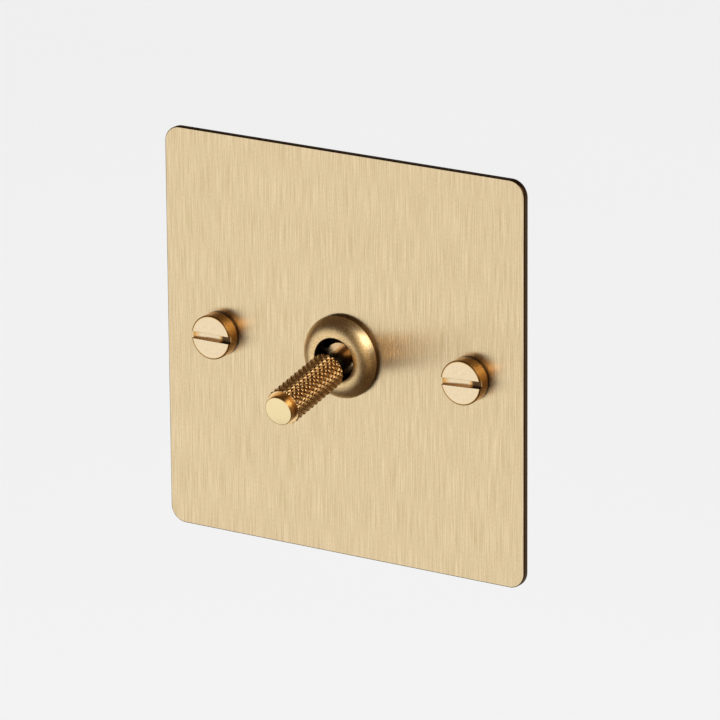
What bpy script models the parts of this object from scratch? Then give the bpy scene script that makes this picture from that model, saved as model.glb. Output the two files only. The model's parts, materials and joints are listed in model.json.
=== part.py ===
"""Toggle wall switch: a square brass face plate with a knurled toggle, at rest with the handle down.

Frame: +Z up, the front faces -Y, and the origin is the centre of the face plate's back face, which
lies on the wall. What is at +Y sits inside the wall box. Lengths are in metres, angles in degrees.

Turned pieces are drawn as (radius, height) with height along their own axis. That axis points out of
the wall on a fixed piece, and from the pivot towards the handle's end on a piece of the toggle.
"""

import math

import bmesh
import bpy

GAP = 0.0003  # clearance kept between pieces that touch
THROUGH = 0.0200  # length of a cutter that passes right through a piece
BEYOND = 0.0020  # how far a cutter reaches past the face that it opens

# Face plate
PLATE_SIDE = 0.0860
PLATE_THICK = 0.0015
PLATE_CORNER = 0.0035
PLATE_EDGE = 0.0002

# Fixing screws, M3.5 at the spacing of a single wall box
SCREW_SPACING = 0.0603
SCREW_HEAD_R = 0.0047
SCREW_HEAD_HIGH = 0.0035
SCREW_CHAMFER = 0.00015
SCREW_SHANK_R = 0.0017
SCREW_REACH = 0.0160  # how far the shank reaches behind the plate
SCREW_LEAD = 0.00045
SLOT_WIDE = 0.00145
SLOT_DEEP = 0.0011
SLOT_TURNS = {"left": 0.0, "right": 3.0}
RETAINER_R = 0.0040
RETAINER_THICK = 0.0008

# Bezel ring round the toggle
BEZEL_R = 0.00875
BEZEL_HIGH = 0.0036
BEZEL_RIM = 0.0010  # height of the dome's outer edge, under which the ring narrows to its foot
BEZEL_FOOT_R = 0.0082
BEZEL_TURN = 58.0  # how much steeper the dome is at its edge than at its crest, in degrees
BEZEL_CREST_R = 0.0055
BEZEL_HOLE_R = 0.00455
BEZEL_EDGE = 0.0001
BEZEL_LIP = 0.0009

# Threaded bush, nut and washer
BUSH_R = 0.0059
BUSH_BORE_R = 0.0049
BUSH_FLANGE_R = 0.0076
NUT_ACROSS_CORNERS_R = 0.0087
NUT_THICK = 0.0024
WASHER_R = 0.0080
WASHER_THICK = 0.0006

# Toggle: distances along the lever from its pivot
PIVOT_Y = 0.0004
REST_TILT = 11.0  # the handle hangs this far below the horizontal
BALL_R = 0.0042
BALL_FLAT = 0.0023  # the ball is cut flat round the neck at this distance
NECK_R = 0.0022
ROD_R = 0.0019
ROD_SHORT = 0.0011  # how far the rod stops inside the grip's end
GRIP_R = 0.0039
GRIP_START = 0.0080
GRIP_END = 0.0251
GRIP_CHAMFER = 0.0003
TIP_R = 0.0031
TIP_END = 0.0269
TIP_CHAMFER = 0.0002
STUD_R = 0.0010
STUD_LONG = 0.0058
TAIL_R = 0.0023
TAIL_BORE_R = 0.00145
TAIL_BORE_FLOOR = 0.0025
TAIL_END = 0.0110
PIN_R = 0.00075
PLUNGER_R = 0.0012
PLUNGER_START = 0.0079
PLUNGER_END = 0.01555
SPRING_WIRE_R = 0.0002
SPRING_COIL_R = 0.00105
SPRING_TURNS = 6

# Steel frame and moulded housing
FRAME_FRONT = 0.0042
FRAME_THICK = 0.0012
FRAME_WIDE = 0.0150
FRAME_LEG_END = 0.0140
HOUSING_FRONT = 0.0070
HOUSING_BACK = 0.0240
HOUSING_HALF_X = 0.0115
HOUSING_HALF_Z = 0.0150
CHAMBER_HALF_X = 0.0041
CHAMBER_HALF_Z = 0.0110
CHAMBER_FLOOR = 0.0215
RIVET_Y = 0.0110
RIVET_SHANK_R = 0.0014
RIVET_HEAD_R = 0.0024
RIVET_HEAD_HIGH = 0.0008
RIVET_DEEP = 0.0027  # how far a rivet reaches into the housing

# Contacts and terminals
ROCKER_PIVOT_Y = 0.0170
ROCKER_TILT = 8.0
ROCKER_THICK = 0.0008
ROCKER_WIDE = 0.0050
CONTACT_Z = 0.0073
BUTTON_R = 0.0012
FIXED_CONTACT_R = 0.0013
FIXED_CONTACT_FRONT = 0.0190
STRIP_FRONT = 0.0203
STRIP_BACK = 0.0212
BLOCK_X = (0.0053, 0.0103)
BLOCK_Y = (0.0145, 0.0235)
BLOCK_HIGH = 0.0074
WIRE_HOLE_R = 0.0018
CLAMP_Y = 0.0195
CLAMP_R = 0.0015
CLAMP_LONG = 0.0028
ACCESS_R = 0.0019
STRIP_HALF_Z = 0.0020
STRIP_REACH = 0.0035  # how far a strip reaches past the middle of the chamber

# Earth terminal on the back of the plate
EARTH_SIDE = 0.0080
EARTH_THICK = 0.0070
EARTH_X = -0.0280
EARTH_Z = -0.0280
EARTH_WIRE_Y = 0.0028
EARTH_SCREW_LONG = 0.0047

OUT_OF_WALL = (math.radians(90), 0.0, 0.0)
ALONG_X = (0.0, math.radians(90), 0.0)
SIDE_OUTLINE = (math.radians(90), 0.0, math.radians(90))  # outline x, y and thickness go to Y, Z and X

FINISHES = {
    "brushed_brass": ((0.78, 0.62, 0.38), 1.0, 0.34),
    "turned_brass": ((0.76, 0.58, 0.36), 1.0, 0.22),
    "aged_brass": ((0.50, 0.36, 0.19), 1.0, 0.38),
    "knurled_brass": ((0.62, 0.43, 0.22), 1.0, 0.25),
    "nickel_plate": ((0.66, 0.64, 0.60), 1.0, 0.28),
    "zinc_steel": ((0.60, 0.62, 0.64), 1.0, 0.35),
    "contact_silver": ((0.86, 0.86, 0.88), 1.0, 0.20),
    "housing_plastic": ((0.90, 0.89, 0.86), 0.0, 0.45),
    "nylon": ((0.86, 0.85, 0.80), 0.0, 0.50),
}


def clear_scene():
    for obj in list(bpy.data.objects):
        bpy.data.objects.remove(obj)


def collection(name):
    made = bpy.data.collections.new(name)
    bpy.context.scene.collection.children.link(made)
    return made


def material(name):
    if name in bpy.data.materials:
        return bpy.data.materials[name]
    colour, metallic, roughness = FINISHES[name]
    made = bpy.data.materials.new(name)
    made.use_nodes = True
    shader = made.node_tree.nodes["Principled BSDF"]
    shader.inputs["Base Color"].default_value = (*colour, 1.0)
    shader.inputs["Metallic"].default_value = metallic
    shader.inputs["Roughness"].default_value = roughness
    made.diffuse_color = (*colour, 1.0)
    return made


def placed(obj, parent=None, location=(0, 0, 0), rotation=(0, 0, 0)):
    obj.parent = parent
    obj.location = location
    obj.rotation_euler = rotation
    return obj


def pivot(name, y, tilt):
    """An empty on a hinge's axis, which runs along X. Its Z points out of the wall, tilt degrees down."""
    empty = bpy.data.objects.new(name, None)
    parts.objects.link(empty)
    return placed(empty, location=(0, y, 0), rotation=(math.radians(90 + tilt), 0, 0))


def piece(name, mesh, finish):
    obj = bpy.data.objects.new(name, mesh)
    parts.objects.link(obj)
    mesh.materials.clear()
    mesh.materials.append(material(finish))
    return obj


def cutter(name, mesh):
    """A helper that a Boolean uses and nobody sees."""
    obj = bpy.data.objects.new(name, mesh)
    helpers.objects.link(obj)
    obj.hide_render = True
    obj.display_type = "WIRE"
    return obj


def boolean(obj, operation, other):
    modifier = obj.modifiers.new(f"{operation} {other.name}", "BOOLEAN")
    modifier.operation = operation
    modifier.object = other
    modifier.solver = "EXACT"


def shade(mesh):
    mesh.shade_smooth()
    mesh.set_sharp_from_angle(angle=math.radians(30))


def baked_mesh(obj, weld):
    """What the object's modifiers or curve settings make, as a mesh of its own. The object goes."""
    bpy.context.view_layer.update()
    graph = bpy.context.evaluated_depsgraph_get()
    mesh = bpy.data.meshes.new_from_object(obj.evaluated_get(graph))
    work = bmesh.new()
    work.from_mesh(mesh)
    bmesh.ops.remove_doubles(work, verts=work.verts, dist=weld)
    work.to_mesh(mesh)
    work.free()
    shade(mesh)
    bpy.data.objects.remove(obj)
    return mesh


def turned_mesh(name, profile, segments, ring):
    """A solid of revolution about Z. The profile runs down its outer side; a ring's closes on itself."""
    count = len(profile)
    edges = [(i, i + 1) for i in range(count - 1)]
    if ring:
        edges.append((count - 1, 0))
    line = bpy.data.meshes.new(name)
    line.from_pydata([(radius, 0, height) for radius, height in profile], edges, [])
    obj = bpy.data.objects.new(name, line)
    helpers.objects.link(obj)
    screw = obj.modifiers.new("turn", "SCREW")
    screw.axis = "Z"
    screw.steps = segments
    screw.render_steps = segments
    screw.use_merge_vertices = True
    screw.merge_threshold = 1e-6
    return baked_mesh(obj, 1e-6)


def turned(name, profile, finish, segments=32, ring=False):
    return piece(name, turned_mesh(name, profile, segments, ring), finish)


def box_mesh(name, low, high):
    work = bmesh.new()
    bmesh.ops.create_cube(work, size=1.0)
    for vert in work.verts:
        vert.co = [a + (b - a) * (c + 0.5) for a, b, c in zip(low, high, vert.co)]
    mesh = bpy.data.meshes.new(name)
    work.to_mesh(mesh)
    work.free()
    return mesh


def box(name, low, high, finish, edge=0.0):
    obj = piece(name, box_mesh(name, low, high), finish)
    if edge:
        bevel(obj, edge)
    return obj


def bevel(obj, width):
    modifier = obj.modifiers.new("edges", "BEVEL")
    modifier.width = width
    modifier.segments = 1
    modifier.limit_method = "ANGLE"
    modifier.angle_limit = math.radians(40)


def box_cutter(name, low, high):
    return cutter(name, box_mesh(name, low, high))


def rod_mesh(name, radius, length, segments):
    work = bmesh.new()
    bmesh.ops.create_cone(
        work, cap_ends=True, segments=segments, radius1=radius, radius2=radius, depth=length
    )
    mesh = bpy.data.meshes.new(name)
    work.to_mesh(mesh)
    work.free()
    return mesh


def rod_cutter(name, centre, radius, length, rotation, segments=24):
    obj = cutter(name, rod_mesh(name, radius, length, segments))
    return placed(obj, location=centre, rotation=rotation)


def outline(name, points, thickness, finish):
    """A flat closed outline with a thickness, as a mesh, so that it can be cut."""
    curve = bpy.data.curves.new(name, "CURVE")
    curve.dimensions = "2D"
    curve.fill_mode = "BOTH"
    curve.extrude = thickness / 2
    spline = curve.splines.new("POLY")
    spline.points.add(len(points) - 1)
    for point, (x, y) in zip(spline.points, points):
        point.co = (x, y, 0, 1)
    spline.use_cyclic_u = True
    obj = bpy.data.objects.new(name, curve)
    helpers.objects.link(obj)
    return piece(name, baked_mesh(obj, 1e-6), finish)


def arc(centre, radii, start, end, steps):
    """Points of an elliptical arc in (radius, height), from angle start to angle end."""
    angles = [math.radians(start + (end - start) * i / steps) for i in range(steps + 1)]
    return [(centre[0] + radii[0] * math.cos(a), centre[1] + radii[1] * math.sin(a)) for a in angles]


def bow(start, end, turn, steps):
    """Points of a circular arc from start to end that turns by that many degrees, bulging outwards."""
    half = math.radians(turn) / 2
    across, down = end[0] - start[0], end[1] - start[1]
    points = []
    for i in range(steps + 1):
        angle = half * (2 * i / steps - 1)
        along = (math.sin(angle) / math.sin(half) + 1) / 2
        rise = (math.cos(angle) - math.cos(half)) / (2 * math.sin(half))
        points.append((start[0] + across * along - down * rise, start[1] + down * along + across * rise))
    return points


def make_face_plate():
    half = PLATE_SIDE / 2
    mesh = box_mesh("face_plate", (-half, -PLATE_THICK, -half), (half, 0, half))
    work = bmesh.new()
    work.from_mesh(mesh)
    corners = [e for e in work.edges if abs(e.verts[0].co.y - e.verts[1].co.y) > PLATE_THICK / 2]
    bmesh.ops.bevel(
        work, geom=corners, offset=PLATE_CORNER, segments=8, profile=0.5, affect="EDGES"
    )
    work.to_mesh(mesh)
    work.free()
    plate = piece("face_plate", mesh, "brushed_brass")
    bevel(plate, PLATE_EDGE)
    middle = (0, -PLATE_THICK / 2, 0)
    holes = [rod_cutter("bush_hole", middle, BUSH_R + GAP, THROUGH, OUT_OF_WALL, 32)]
    for side in (-1, 1):
        at = (side * SCREW_SPACING / 2, middle[1], 0)
        holes.append(rod_cutter("screw_hole", at, SCREW_SHANK_R + GAP, THROUGH, OUT_OF_WALL))
    for hole in holes:
        boolean(plate, "DIFFERENCE", hole)


def make_fixing_screw(side, x):
    """A slotted cheese-head screw, standing proud of the plate."""
    top, tip = SCREW_HEAD_HIGH, -PLATE_THICK - SCREW_REACH
    profile = [
        (0, top),
        (SCREW_HEAD_R - SCREW_CHAMFER, top),
        (SCREW_HEAD_R, top - SCREW_CHAMFER),
        (SCREW_HEAD_R, GAP),
        (SCREW_SHANK_R, GAP),
        (SCREW_SHANK_R, tip + SCREW_LEAD),
        (SCREW_SHANK_R - SCREW_LEAD, tip),
        (0, tip),
    ]
    screw = turned(f"fixing_screw_{side}", profile, "turned_brass")
    turn = math.radians(SLOT_TURNS[side])
    placed(screw, location=(x, -PLATE_THICK, 0), rotation=(OUT_OF_WALL[0], -turn, 0))
    reach = SCREW_HEAD_R + BEYOND
    slot = box_cutter(
        f"slot_{side}",
        (-reach, -SLOT_WIDE / 2, top - SLOT_DEEP),
        (reach, SLOT_WIDE / 2, top + BEYOND),
    )
    placed(slot, location=screw.location, rotation=screw.rotation_euler)
    boolean(screw, "DIFFERENCE", slot)


def make_screw_retainer(side, x):
    """The soft washer behind the plate that keeps its screw from dropping out."""
    low, high = -GAP - RETAINER_THICK, -GAP
    inner = SCREW_SHANK_R + GAP
    profile = [(inner, high), (RETAINER_R, high), (RETAINER_R, low), (inner, low)]
    retainer = turned(f"screw_retainer_{side}", profile, "nylon", 24, ring=True)
    placed(retainer, location=(x, 0, 0), rotation=OUT_OF_WALL)


def make_bezel_ring():
    top = BEZEL_HIGH
    dome = bow((BEZEL_CREST_R, top), (BEZEL_R, BEZEL_RIM), BEZEL_TURN, 8)
    counterbore = BUSH_R + GAP
    profile = [(BEZEL_HOLE_R + BEZEL_EDGE, top), *dome, (BEZEL_FOOT_R, GAP), (counterbore, GAP)]
    profile += [(counterbore, top - BEZEL_LIP), (BEZEL_HOLE_R, top - BEZEL_LIP)]
    profile += [(BEZEL_HOLE_R, top - BEZEL_EDGE)]
    bezel = turned("bezel_ring", profile, "aged_brass", 40, ring=True)
    placed(bezel, location=(0, -PLATE_THICK, 0), rotation=OUT_OF_WALL)


def make_threaded_bush():
    front = PLATE_THICK + BEZEL_HIGH - BEZEL_LIP - GAP
    flange = -(FRAME_FRONT + FRAME_THICK + GAP)
    back = -(HOUSING_FRONT - GAP)
    profile = [
        (BUSH_BORE_R, front),
        (BUSH_R, front),
        (BUSH_R, flange),
        (BUSH_FLANGE_R, flange),
        (BUSH_FLANGE_R, back),
        (BUSH_BORE_R, back),
    ]
    bush = turned("threaded_bush", profile, "nickel_plate", 32, ring=True)
    placed(bush, rotation=OUT_OF_WALL)
    pin_hole = rod_cutter("bush_pin_hole", (0, PIVOT_Y, 0), PIN_R + GAP, THROUGH, ALONG_X, 16)
    boolean(bush, "DIFFERENCE", pin_hole)


def make_lock_washer():
    high, low = -GAP, -GAP - WASHER_THICK
    inner = BUSH_R + GAP
    profile = [(inner, high), (WASHER_R, high), (WASHER_R, low), (inner, low)]
    washer = turned("lock_washer", profile, "zinc_steel", 32, ring=True)
    placed(washer, rotation=OUT_OF_WALL)


def make_bush_nut():
    front = 2 * GAP + WASHER_THICK
    nut = piece("bush_nut", rod_mesh("bush_nut", NUT_ACROSS_CORNERS_R, NUT_THICK, 6), "nickel_plate")
    placed(nut, location=(0, front + NUT_THICK / 2, 0), rotation=OUT_OF_WALL)
    hole = rod_cutter("nut_hole", nut.location, BUSH_R + GAP, THROUGH, OUT_OF_WALL, 32)
    boolean(nut, "DIFFERENCE", hole)


def make_toggle_lever(hinge):
    """The rod with its pivot ball, bored in front for the cap's stud and in the tail for the plunger."""
    stud_bore_r, stud_bore_end = STUD_R + GAP, GRIP_END - STUD_LONG - GAP
    rod_end = GRIP_END - ROD_SHORT
    neck_end = GRIP_START - GAP
    flat_edge = math.degrees(math.asin(BALL_FLAT / BALL_R))
    tail_root = math.degrees(math.asin(TAIL_R / BALL_R))
    ball = arc((0, 0), (BALL_R, BALL_R), flat_edge, tail_root - 90, 12)
    profile = [
        (0, stud_bore_end),
        (stud_bore_r, stud_bore_end),
        (stud_bore_r, rod_end),
        (ROD_R, rod_end),
        (ROD_R, neck_end),
        (NECK_R, neck_end),
        (NECK_R, BALL_FLAT),
        *ball,
        (TAIL_R, -TAIL_END),
        (TAIL_BORE_R, -TAIL_END),
        (TAIL_BORE_R, -TAIL_BORE_FLOOR),
        (0, -TAIL_BORE_FLOOR),
    ]
    lever = placed(turned("toggle_lever", profile, "turned_brass", 28), hinge)
    pin_hole = rod_cutter("ball_pin_hole", (0, PIVOT_Y, 0), PIN_R + GAP, THROUGH, ALONG_X, 16)
    boolean(lever, "DIFFERENCE", pin_hole)


def make_knurled_grip(hinge):
    inner = ROD_R + GAP
    profile = [
        (inner, GRIP_END),
        (GRIP_R - GRIP_CHAMFER, GRIP_END),
        (GRIP_R, GRIP_END - GRIP_CHAMFER),
        (GRIP_R, GRIP_START + GRIP_CHAMFER),
        (GRIP_R - GRIP_CHAMFER, GRIP_START),
        (inner, GRIP_START),
    ]
    placed(turned("knurled_grip", profile, "knurled_brass", 40, ring=True), hinge)


def make_grip_end_cap(hinge):
    """The plain cap at the handle's end, with the stud that holds the grip on the rod."""
    stud_end = GRIP_END - STUD_LONG
    profile = [
        (0, TIP_END),
        (TIP_R - TIP_CHAMFER, TIP_END),
        (TIP_R, TIP_END - TIP_CHAMFER),
        (TIP_R, GRIP_END + GAP),
        (STUD_R, GRIP_END + GAP),
        (STUD_R, stud_end),
        (0, stud_end),
    ]
    placed(turned("grip_end_cap", profile, "turned_brass", 32), hinge)


def make_pivot_pin():
    half = BUSH_R - 0.0002
    profile = [(0, half), (PIN_R, half), (PIN_R, -half), (0, -half)]
    pin = turned("pivot_pin", profile, "zinc_steel", 16)
    placed(pin, location=(0, PIVOT_Y, 0), rotation=ALONG_X)


def make_plunger(hinge):
    """The round-nosed pin that the spring pushes out of the lever's tail onto the rocker."""
    nose = arc((0, -PLUNGER_END + PLUNGER_R), (PLUNGER_R, PLUNGER_R), 0, -90, 5)
    profile = [(0, -PLUNGER_START), (PLUNGER_R, -PLUNGER_START), *nose]
    placed(turned("plunger", profile, "nylon", 20), hinge)


def make_plunger_spring(hinge):
    low = -(PLUNGER_START - GAP - SPRING_WIRE_R)
    high = -(TAIL_BORE_FLOOR + GAP + SPRING_WIRE_R)
    steps = 9
    count = SPRING_TURNS * steps
    curve = bpy.data.curves.new("plunger_spring", "CURVE")
    curve.dimensions = "3D"
    curve.bevel_depth = SPRING_WIRE_R
    curve.bevel_resolution = 1
    curve.use_fill_caps = True
    spline = curve.splines.new("POLY")
    spline.points.add(count)
    for i, point in enumerate(spline.points):
        angle = 2 * math.pi * i / steps
        height = low + (high - low) * i / count
        across = (SPRING_COIL_R * math.cos(angle), SPRING_COIL_R * math.sin(angle))
        point.co = (*across, height, 1)
    obj = bpy.data.objects.new("plunger_spring", curve)
    helpers.objects.link(obj)
    placed(piece("plunger_spring", baked_mesh(obj, 1e-6), "zinc_steel"), hinge)


def make_switch_frame():
    """The steel strap that carries the bush and holds the housing, bent back over both ends of it."""
    inner = HOUSING_HALF_Z + GAP
    outer = inner + FRAME_THICK
    floor = FRAME_FRONT + FRAME_THICK
    points = [
        (FRAME_FRONT, -outer),
        (FRAME_LEG_END, -outer),
        (FRAME_LEG_END, -inner),
        (floor, -inner),
        (floor, inner),
        (FRAME_LEG_END, inner),
        (FRAME_LEG_END, outer),
        (FRAME_FRONT, outer),
    ]
    frame = placed(
        outline("switch_frame", points, FRAME_WIDE, "zinc_steel"), rotation=SIDE_OUTLINE
    )
    hole = rod_cutter("frame_bush_hole", (0, floor, 0), BUSH_R + GAP, THROUGH, OUT_OF_WALL, 32)
    rivets = rod_cutter(
        "frame_rivet_holes", (0, RIVET_Y, 0), RIVET_SHANK_R + GAP, 2 * THROUGH, (0, 0, 0), 16
    )
    boolean(frame, "DIFFERENCE", hole)
    boolean(frame, "DIFFERENCE", rivets)


def make_frame_rivet(end, sign):
    face = HOUSING_HALF_Z + 2 * GAP + FRAME_THICK
    top, root = face + RIVET_HEAD_HIGH, HOUSING_HALF_Z - RIVET_DEEP
    profile = [
        (0, top),
        (RIVET_HEAD_R * 0.7, top),
        (RIVET_HEAD_R, face + RIVET_HEAD_HIGH / 3),
        (RIVET_HEAD_R, face),
        (RIVET_SHANK_R, face),
        (RIVET_SHANK_R, root),
        (0, root),
    ]
    rivet = turned(f"frame_rivet_{end}", profile, "zinc_steel", 16)
    tilt = 0.0 if sign > 0 else math.pi
    placed(rivet, location=(0, RIVET_Y, 0), rotation=(tilt, 0, 0))


def terminal_pockets():
    """Side, height and name of the three terminals: the common one alone on the left."""
    return ((-1, 0.0, "common"), (1, CONTACT_Z, "upper"), (1, -CONTACT_Z, "lower"))


def make_switch_housing():
    """The moulding: one narrow contact chamber open to the front, three pockets open to the back."""
    low = (-HOUSING_HALF_X, HOUSING_FRONT, -HOUSING_HALF_Z)
    high = (HOUSING_HALF_X, HOUSING_BACK, HOUSING_HALF_Z)
    housing = box("switch_housing", low, high, "housing_plastic", 0.0006)
    chamber = box_cutter(
        "chamber",
        (-CHAMBER_HALF_X, HOUSING_FRONT - BEYOND, -CHAMBER_HALF_Z),
        (CHAMBER_HALF_X, CHAMBER_FLOOR, CHAMBER_HALF_Z),
    )
    boolean(housing, "DIFFERENCE", chamber)
    for side, z, name in terminal_pockets():
        near, far = sorted((side * (BLOCK_X[0] - GAP), side * (BLOCK_X[1] + GAP)))
        half = BLOCK_HIGH / 2 + GAP
        pocket = box_cutter(
            f"pocket_{name}",
            (near, BLOCK_Y[0] - GAP, z - half),
            (far, HOUSING_BACK + BEYOND, z + half),
        )
        ends = sorted((side * (CHAMBER_HALF_X - BEYOND / 2), side * (BLOCK_X[0] + BEYOND / 2)))
        strip_half = STRIP_HALF_Z + 0.0005
        slot = box_cutter(
            f"strip_slot_{name}",
            (ends[0], STRIP_FRONT - GAP, z - strip_half),
            (ends[1], CHAMBER_FLOOR, z + strip_half),
        )
        wall = (side * HOUSING_HALF_X, CLAMP_Y, z)
        access = rod_cutter(f"clamp_access_{name}", wall, ACCESS_R, 2 * BEYOND, ALONG_X, 20)
        for cut in (pocket, slot, access):
            boolean(housing, "DIFFERENCE", cut)
    for sign in (-1, 1):
        at = (0, RIVET_Y, sign * HOUSING_HALF_Z)
        deep = 2 * (RIVET_DEEP + GAP)
        hole = rod_cutter("housing_rivet_hole", at, RIVET_SHANK_R + GAP, deep, (0, 0, 0), 16)
        boolean(housing, "DIFFERENCE", hole)


def make_contact_rocker():
    """The see-saw contact. Its middle is a shallow V for the plunger, and its ends carry the contacts."""
    hinge = pivot("rocker_pivot", ROCKER_PIVOT_Y, -90 - ROCKER_TILT)
    vee_z, vee, step_z, end_z = 0.0040, 0.0007, 0.0055, 0.0086
    half = [(0, 0), (-vee, vee_z), (0, step_z), (0, end_z)]
    back = [(y, -z) for y, z in reversed(half[1:])] + half
    points = back + [(y - ROCKER_THICK, z) for y, z in reversed(back)]
    rocker = placed(
        outline("contact_rocker", points, ROCKER_WIDE, "turned_brass"),
        hinge,
        rotation=SIDE_OUTLINE,
    )
    for sign, name in ((-1, "lower"), (1, "upper")):
        button = cutter(f"moving_contact_{name}", rod_mesh(name, BUTTON_R, 0.0010, 16))
        placed(button, hinge, (0, 0.0002, sign * CONTACT_Z), OUT_OF_WALL)
        boolean(rocker, "UNION", button)


def make_terminal(side, z, name):
    """A terminal block in its pocket, with its strip into the contact chamber."""
    near, far = sorted(side * x for x in BLOCK_X)
    block = box(
        f"{name}_terminal",
        (near, BLOCK_Y[0], z - BLOCK_HIGH / 2),
        (far, BLOCK_Y[1], z + BLOCK_HIGH / 2),
        "turned_brass",
        0.0003,
    )
    ends = sorted((side * (BLOCK_X[0] + BEYOND / 2), -side * STRIP_REACH))
    strip = box_cutter(
        f"strip_{name}",
        (ends[0], STRIP_FRONT, z - STRIP_HALF_Z),
        (ends[1], STRIP_BACK, z + STRIP_HALF_Z),
    )
    boolean(block, "UNION", strip)
    if name == "common":
        edge_x, edge_z = 0.0022, 0.0006
        edge = box_cutter(
            "knife_edge",
            (-edge_x, ROCKER_PIVOT_Y + GAP, -edge_z),
            (edge_x, (STRIP_FRONT + STRIP_BACK) / 2, edge_z),
        )
        boolean(block, "UNION", edge)
    middle = side * sum(BLOCK_X) / 2
    wire = rod_cutter(
        f"wire_hole_{name}", (middle, BLOCK_Y[1], z), WIRE_HOLE_R, 0.0150, OUT_OF_WALL, 20
    )
    clamp = rod_cutter(
        f"clamp_hole_{name}", (side * BLOCK_X[1], CLAMP_Y, z), CLAMP_R + GAP, 0.0050, ALONG_X, 20
    )
    boolean(block, "DIFFERENCE", wire)
    boolean(block, "DIFFERENCE", clamp)


def make_fixed_contact(name, z):
    front = -FIXED_CONTACT_FRONT
    back = -(STRIP_FRONT - GAP)
    r, edge = FIXED_CONTACT_R, 0.0002
    profile = [(0, front), (r - edge, front), (r, front - edge), (r, back), (0, back)]
    contact = turned(f"{name}_fixed_contact", profile, "contact_silver", 16)
    placed(contact, location=(0, 0, z), rotation=OUT_OF_WALL)


def make_clamp_screw(name, location, rotation, length):
    """A slotted grub screw. Its slot is at the local top, and the location is its inner end."""
    profile = [(0, length), (CLAMP_R, length), (CLAMP_R, 0), (0, 0)]
    screw = turned(name, profile, "zinc_steel", 20)
    placed(screw, location=location, rotation=rotation)
    half_wide, deep = 0.0003, 0.0007
    slot = box_cutter(
        f"{name}_slot", (-BEYOND, -half_wide, length - deep), (BEYOND, half_wide, length + BEYOND)
    )
    placed(slot, location=location, rotation=rotation)
    boolean(screw, "DIFFERENCE", slot)


def make_earth_terminal():
    half = EARTH_SIDE / 2
    low = (EARTH_X - half, GAP, EARTH_Z - half)
    high = (EARTH_X + half, GAP + EARTH_THICK, EARTH_Z + half)
    block = box("earth_block", low, high, "turned_brass", 0.0004)
    wire_y = GAP + EARTH_WIRE_Y
    wire = rod_cutter("earth_wire_hole", (EARTH_X, wire_y, EARTH_Z), WIRE_HOLE_R, THROUGH, ALONG_X, 20)
    deep = 2 * (EARTH_THICK - EARTH_WIRE_Y)
    clamp = rod_cutter(
        "earth_clamp_hole", (EARTH_X, high[1], EARTH_Z), CLAMP_R + GAP, deep, OUT_OF_WALL, 20
    )
    boolean(block, "DIFFERENCE", wire)
    boolean(block, "DIFFERENCE", clamp)
    into_wall = (math.radians(-90), 0, 0)
    start = (EARTH_X, wire_y + 0.0006, EARTH_Z)
    make_clamp_screw("earth_screw", start, into_wall, EARTH_SCREW_LONG)


def make_mechanism():
    make_switch_frame()
    make_switch_housing()
    make_frame_rivet("upper", 1)
    make_frame_rivet("lower", -1)
    make_contact_rocker()
    for side, z, name in terminal_pockets():
        make_terminal(side, z, name)
        turn = (0, side * math.radians(90), 0)
        start = (side * 0.0084, CLAMP_Y, z)
        make_clamp_screw(f"{name}_terminal_screw", start, turn, CLAMP_LONG)
    make_fixed_contact("upper", CONTACT_Z)
    make_fixed_contact("lower", -CONTACT_Z)


def make_toggle():
    hinge = pivot("toggle_pivot", PIVOT_Y, REST_TILT)
    make_toggle_lever(hinge)
    make_knurled_grip(hinge)
    make_grip_end_cap(hinge)
    make_plunger_spring(hinge)
    make_plunger(hinge)
    make_pivot_pin()


def make_front():
    make_face_plate()
    make_bezel_ring()
    for side, sign in (("left", -1), ("right", 1)):
        make_fixing_screw(side, sign * SCREW_SPACING / 2)
        make_screw_retainer(side, sign * SCREW_SPACING / 2)
    make_threaded_bush()
    make_lock_washer()
    make_bush_nut()
    make_earth_terminal()


clear_scene()
parts = collection("toggle_wall_switch")
helpers = collection("cutters")
make_front()
make_toggle()
make_mechanism()
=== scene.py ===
"""Toggle wall switch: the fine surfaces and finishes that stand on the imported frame.

The frame's coordinates are metres with +Z up, the front faces -Y, and the origin is the centre of
the plate's back face. Turned pieces are drawn as (radius, height) along their own Z, which points
out of the wall on a fixed piece and along the lever on a piece of the toggle.
"""

import json
import math

import bmesh
import bpy
from mathutils import Matrix, Vector


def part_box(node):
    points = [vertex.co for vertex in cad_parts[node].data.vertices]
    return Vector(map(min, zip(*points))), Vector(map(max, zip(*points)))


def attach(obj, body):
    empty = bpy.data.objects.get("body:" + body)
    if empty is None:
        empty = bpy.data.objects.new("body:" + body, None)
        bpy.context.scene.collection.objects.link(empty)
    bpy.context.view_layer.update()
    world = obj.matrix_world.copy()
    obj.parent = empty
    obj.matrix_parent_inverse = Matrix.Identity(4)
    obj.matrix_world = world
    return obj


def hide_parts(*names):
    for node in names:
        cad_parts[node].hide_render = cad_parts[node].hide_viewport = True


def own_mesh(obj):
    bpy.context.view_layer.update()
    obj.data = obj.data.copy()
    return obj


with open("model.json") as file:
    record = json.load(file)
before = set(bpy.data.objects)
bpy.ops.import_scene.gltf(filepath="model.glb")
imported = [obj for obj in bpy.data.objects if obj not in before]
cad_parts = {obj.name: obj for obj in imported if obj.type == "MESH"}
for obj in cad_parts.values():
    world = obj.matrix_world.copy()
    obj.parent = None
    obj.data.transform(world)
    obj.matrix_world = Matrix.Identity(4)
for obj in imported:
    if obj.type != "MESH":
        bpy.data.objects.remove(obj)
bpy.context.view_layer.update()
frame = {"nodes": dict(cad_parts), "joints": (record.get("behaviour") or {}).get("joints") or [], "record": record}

BODY_OF = {
    node: body
    for body, nodes in frame["record"]["behaviour"]["bodies"].items()
    for node in nodes
}
SLOT_OF = {part["node"]: part["material_slot"] for part in frame["record"]["subparts"]}
JOINTS = {joint["name"]: joint for joint in frame["joints"]}

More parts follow.
